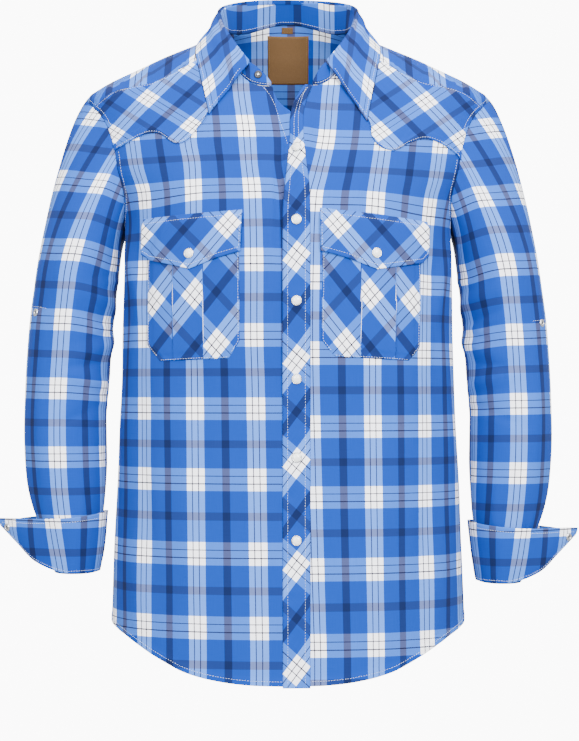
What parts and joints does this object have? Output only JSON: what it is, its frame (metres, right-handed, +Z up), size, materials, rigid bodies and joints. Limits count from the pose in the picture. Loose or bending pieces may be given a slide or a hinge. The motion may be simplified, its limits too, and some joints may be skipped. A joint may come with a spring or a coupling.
{
  "type": "western snap shirt",
  "caption": "Long-sleeved western snap shirt in plaid cotton, filled out as worn, with pointed yokes, flap pockets, an open neck and turned-back cuffs.",
  "frame": {"origin": "between the shoulders of the wearer, level with the two points where the shoulder ridge meets the side of the collar, about 60 mm below the top of the collar at the back", "axes": "+Z up, the front of the shirt faces -Y, +X towards the wearer's left"},
  "size_m": [0.666, 0.2556, 0.8066],
  "materials": {
    "plaid_cotton": "soft plain-woven cotton in a blue, navy and white plaid on the straight grain, matt",
    "plaid_bias_trim": "the same plaid cotton cut on the bias, matt, with white topstitching near its edges",
    "brown_patch": "bare brown suede-like label patch, matt",
    "pearl_cap": "glossy pearl-white domed cap in a thin bright metal rim",
    "snap_steel": "small bright steel ring snap with a dark sunk middle"
  },
  "bodies": {
    "root": {"back_panel": "plaid_cotton", "back_yoke": "plaid_cotton", "collar_band": "plaid_cotton", "collar_fall": "plaid_cotton", "placket": "plaid_bias_trim", "front_right": "plaid_cotton", "front_left": "plaid_cotton", "front_yoke_right": "plaid_bias_trim", "front_yoke_left": "plaid_bias_trim", "sleeve_right": "plaid_cotton", "sleeve_left": "plaid_cotton", "cuff_right": "plaid_cotton", "cuff_left": "plaid_cotton", "pocket_right": "plaid_bias_trim", "pocket_left": "plaid_bias_trim", "pocket_flap_right": "plaid_bias_trim", "pocket_flap_left": "plaid_bias_trim", "neck_label": "brown_patch", "size_tab": "brown_patch", "placket_snap_1": "pearl_cap", "placket_snap_2": "pearl_cap", "placket_snap_3": "pearl_cap", "placket_snap_4": "pearl_cap", "placket_snap_5": "pearl_cap", "placket_snap_6": "pearl_cap", "flap_snap_right": "pearl_cap", "flap_snap_left": "pearl_cap", "neck_snap": "snap_steel", "tab_snap_right": "snap_steel", "tab_snap_left": "snap_steel", "cuff_snap_right": "snap_steel", "cuff_snap_left": "snap_steel"}
  },
  "joints": []
}
